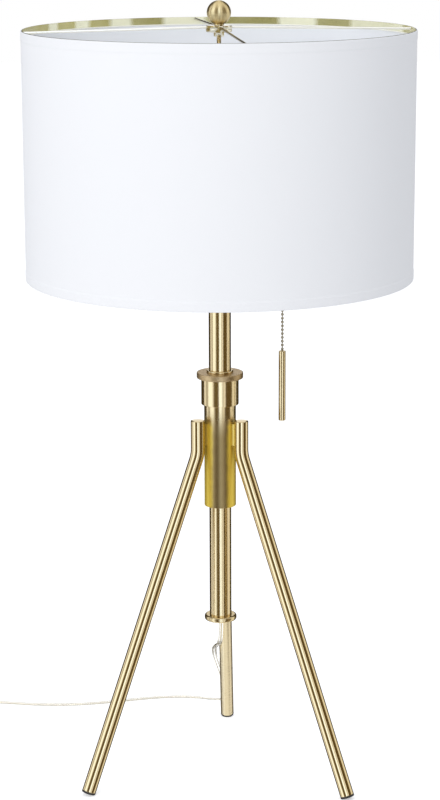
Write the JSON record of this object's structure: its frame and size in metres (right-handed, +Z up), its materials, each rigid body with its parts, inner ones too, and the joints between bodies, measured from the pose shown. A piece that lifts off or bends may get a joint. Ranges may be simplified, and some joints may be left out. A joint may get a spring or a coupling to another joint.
{
  "type": "tripod table lamp",
  "caption": "Table lamp on a brass tripod of bent tubes: a column slides in a sleeve under a lock nut and carries a pull-chain socket, a harp and a white drum shade.",
  "frame": {"origin": "on the column's axis, at the level of the surface that the feet stand on, in the lowest position", "axes": "+Z up along the column, -Y towards the viewer of the picture, +X to the right"},
  "size_m": [0.5644, 0.4098, 0.7859],
  "materials": {
    "brass_satin": "satin-brushed pale brass, lacquered",
    "brass_aged": "satin antique brass",
    "steel_wire": "zinc-plated steel",
    "screw_metal": "plain pressed aluminium",
    "pad_rubber": "matt black rubber",
    "black_moulding": "matt black moulding",
    "fibre_liner": "insulating fibre board",
    "linen": "white linen weave on a stiff backing",
    "frosted_glass": "frosted white glass",
    "clear_cord": "clear soft vinyl over stranded wire",
    "tie_strap": "matt strap"
  },
  "bodies": {
    "tripod": {"sleeve": "brass_satin", "threaded_neck": "brass_satin", "lower_guide": "brass_satin", "collet": "brass_satin", "leg_left": "brass_satin", "leg_right": "brass_satin", "leg_rear": "brass_satin", "saddle_left": "brass_satin", "saddle_right": "brass_satin", "saddle_rear": "brass_satin", "foot_pad_left": "pad_rubber", "foot_pad_right": "pad_rubber", "foot_pad_rear": "pad_rubber", "power_cord": "clear_cord", "cord_coil": "clear_cord", "cord_tie": "tie_strap", "mains_plug": "clear_cord", "plug_blades": "brass_satin"},
    "lock_nut": {"lock_nut": "brass_satin", "wiper_ring": "brass_satin"},
    "cord_outlet": {"cord_bushing": "black_moulding"},
    "column": {"column_tube": "brass_satin", "end_ring": "brass_satin", "stop_collar": "brass_satin", "head_plug": "brass_satin", "nipple": "steel_wire", "nipple_nut": "brass_satin", "harp_base": "brass_satin", "harp": "brass_satin", "finial_stud": "brass_satin", "socket_cap": "brass_satin", "socket_shell": "brass_satin", "socket_liner": "fibre_liner", "switch_block": "black_moulding", "screw_shell": "screw_metal", "centre_contact": "brass_satin", "chain_arm": "brass_satin", "inner_cord": "clear_cord"},
    "harp_clip_front": {"harp_clip_front": "brass_satin"},
    "harp_clip_rear": {"harp_clip_rear": "brass_satin"},
    "shade": {"shade_drum": "linen", "shade_band": "brass_satin", "shade_hoop": "steel_wire", "spider_hub": "brass_satin", "spider_spokes": "brass_satin"},
    "finial": {"finial": "brass_aged"},
    "bulb": {"bulb_globe": "frosted_glass", "bulb_base": "screw_metal", "bulb_contact": "screw_metal"},
    "pull_switch": {"pull_lead": "brass_satin"},
    "pull_chain": {"pull_chain": "brass_satin"},
    "pull_rod": {"pull_rod": "brass_satin"}
  },
  "joints": [
    {"name": "lock_nut_turn", "type": "hinge", "parent": "tripod", "child": "lock_nut", "pos_m": [0, 0, 0.42], "axis": [0, 0, 1], "range_deg": [0, 180]},
    {"name": "column_slide", "type": "slide", "parent": "tripod", "child": "cord_outlet", "axis": [0, 0, 1], "range_m": [0, 0.095], "deforming": ["power_cord"]},
    {"name": "column_turn", "type": "hinge", "parent": "cord_outlet", "child": "column", "pos_m": [0, 0, 0.3], "axis": [0, 0, 1], "range_deg": [-170, 170]},
    {"name": "harp_clip_front_slide", "type": "slide", "parent": "column", "child": "harp_clip_front", "axis": [0, 0, 1], "range_m": [0, 0.012]},
    {"name": "harp_clip_rear_slide", "type": "slide", "parent": "column", "child": "harp_clip_rear", "axis": [0, 0, 1], "range_m": [0, 0.012]},
    {"name": "shade_turn", "type": "hinge", "parent": "column", "child": "shade", "pos_m": [0, 0, 0.76], "axis": [0, 0, 1], "continuous": true},
    {"name": "finial_turn", "type": "hinge", "parent": "column", "child": "finial", "pos_m": [0, 0, 0.77], "axis": [0, 0, 1], "continuous": true},
    {"name": "bulb_turn", "type": "hinge", "parent": "column", "child": "bulb", "pos_m": [0, 0, 0.6], "axis": [0, 0, 1], "continuous": true},
    {"name": "pull_switch_travel", "type": "slide", "parent": "column", "child": "pull_switch", "axis": [0, 0, 1], "range_m": [-0.012, 0], "stiffness_N_per_m": 300, "springref_m": 0.004},
    {"name": "pull_chain_swing", "type": "hinge", "parent": "pull_switch", "child": "pull_chain", "pos_m": [0.062, 0, 0.5434], "axis": [0, 1, 0], "range_deg": [-20, 8]},
    {"name": "pull_rod_swing", "type": "hinge", "parent": "pull_chain", "child": "pull_rod", "pos_m": [0.062, 0, 0.44033], "axis": [1, 0, 0], "range_deg": [-20, 20]}
  ]
}
